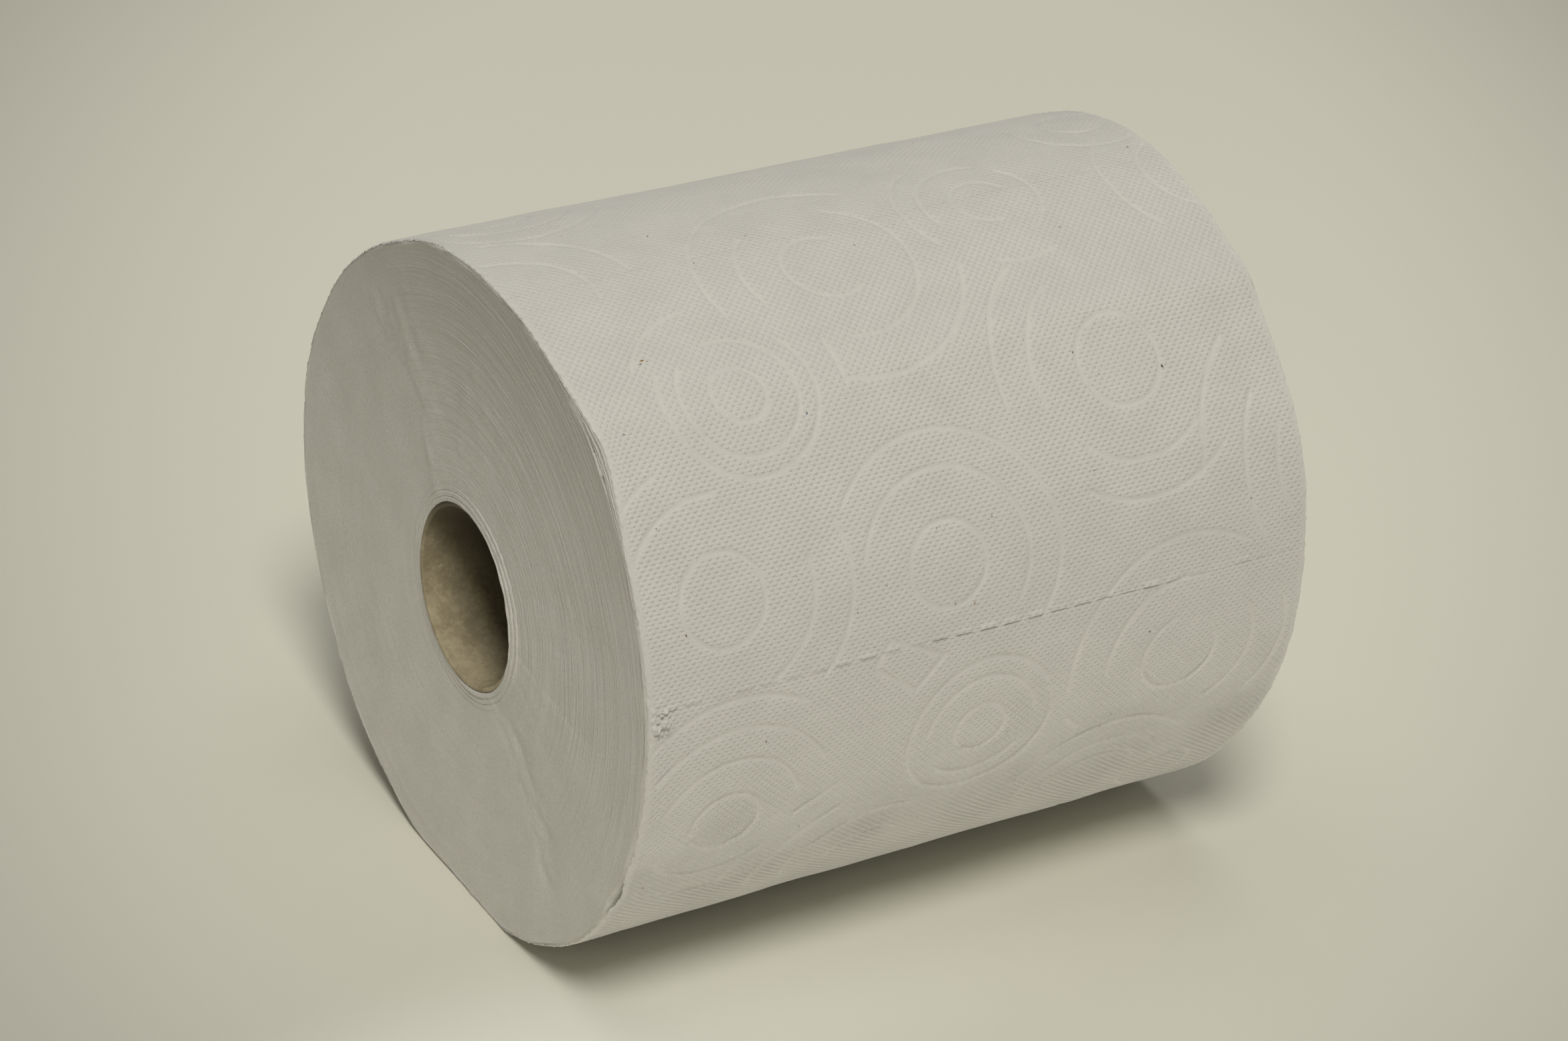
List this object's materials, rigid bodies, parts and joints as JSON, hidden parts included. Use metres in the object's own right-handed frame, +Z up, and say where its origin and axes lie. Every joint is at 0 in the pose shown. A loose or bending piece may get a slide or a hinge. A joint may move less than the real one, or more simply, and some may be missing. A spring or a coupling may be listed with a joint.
{
  "type": "paper towel roll",
  "caption": "Embossed paper towel wound on an open cardboard core tube, lying on its side on a small flat spot, with perforated tear lines.",
  "frame": {"origin": "on the floor, under the middle of the roll's bounding box", "axes": "+X along the roll's axis, away from the end with the loose outer turns; +Z up, with the flat spot at z = 0"},
  "size_m": [0.2004, 0.1995, 0.1882],
  "materials": {
    "paper": "soft matt recycled tissue, embossed",
    "core_board": "grey-brown recycled cardboard, matt"
  },
  "bodies": {
    "root": {"paper_web": "paper", "core_tube": "core_board"}
  },
  "joints": []
}
